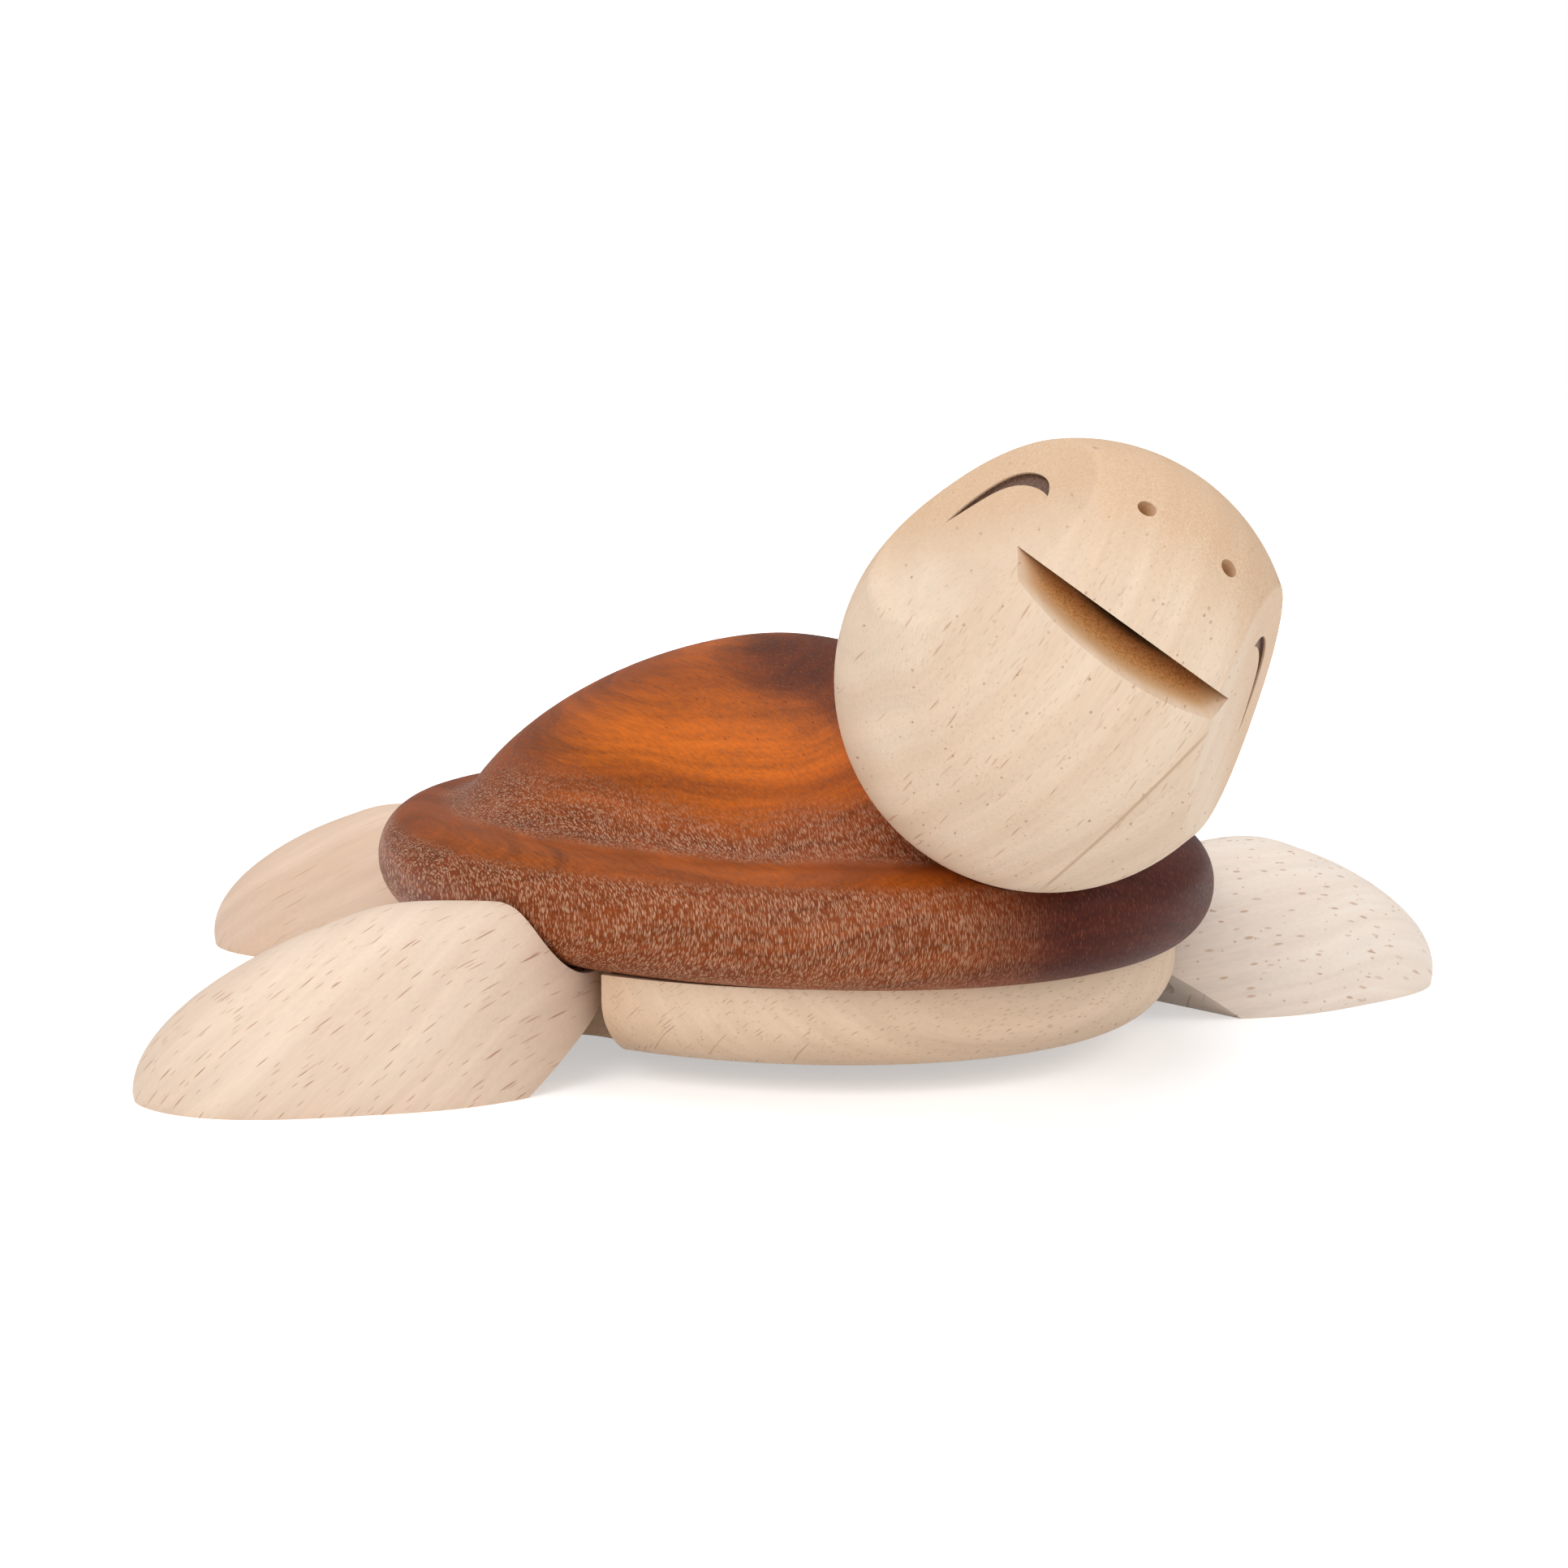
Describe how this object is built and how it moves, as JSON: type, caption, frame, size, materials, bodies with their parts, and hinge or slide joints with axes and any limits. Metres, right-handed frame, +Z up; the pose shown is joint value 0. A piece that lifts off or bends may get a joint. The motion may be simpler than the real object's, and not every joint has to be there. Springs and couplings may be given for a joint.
{
  "type": "wooden turtle figurine",
  "caption": "Wooden turtle figurine: dark domed shell on a pale board, turning ball head with a cut mouth and burnt eyes, and almond flippers that swing on screws under the rim",
  "frame": {"origin": "On the floor, under the middle of the figure's bounding box", "axes": "+Z up, the head points along -Y, the turtle's left side is +X"},
  "size_m": [0.1914, 0.195, 0.0799],
  "materials": {
    "dark_wood": "oiled and satin, banded orange-brown to purple-brown grain",
    "pale_wood": "sanded, cream, with fine brown pores",
    "board_wood": "sanded, straw-coloured, with fine pores",
    "dowel_wood": "plain dowel",
    "steel": "zinc-plated screw",
    "fibre": "red-brown fibre washer"
  },
  "bodies": {
    "shell": {"carapace": "dark_wood", "plastron": "board_wood", "neck_dowel": "dowel_wood", "plastron_dowel_front": "dowel_wood", "plastron_dowel_rear": "dowel_wood", "pivot_screw_front_left": "steel", "pivot_screw_front_right": "steel", "pivot_screw_rear_left": "steel", "pivot_screw_rear_right": "steel", "pivot_washer_front_left": "fibre", "pivot_washer_front_right": "fibre", "pivot_washer_rear_left": "fibre", "pivot_washer_rear_right": "fibre"},
    "head": {"head": "pale_wood"},
    "flipper_front_left": {"flipper_front_left": "pale_wood"},
    "flipper_front_right": {"flipper_front_right": "pale_wood"},
    "flipper_rear_left": {"flipper_rear_left": "pale_wood"},
    "flipper_rear_right": {"flipper_rear_right": "pale_wood"}
  },
  "joints": [
    {"name": "head_turn", "type": "hinge", "parent": "shell", "child": "head", "pos_m": [0, -0.06645, 0.0513], "axis": [0, -0.8616, 0.5075], "continuous": true},
    {"name": "front_left_swing", "type": "hinge", "parent": "shell", "child": "flipper_front_left", "pos_m": [0.04432, -0.02312, 0.0134], "axis": [0, 0, 1], "range_deg": [-5, 5]},
    {"name": "front_right_swing", "type": "hinge", "parent": "shell", "child": "flipper_front_right", "pos_m": [-0.04432, -0.02312, 0.0134], "axis": [0, 0, 1], "range_deg": [-5, 5]},
    {"name": "rear_left_swing", "type": "hinge", "parent": "shell", "child": "flipper_rear_left", "pos_m": [0.02133, 0.05609, 0.0134], "axis": [0, 0, 1], "range_deg": [-5, 5]},
    {"name": "rear_right_swing", "type": "hinge", "parent": "shell", "child": "flipper_rear_right", "pos_m": [-0.02133, 0.05609, 0.0134], "axis": [0, 0, 1], "range_deg": [-5, 5]}
  ]
}
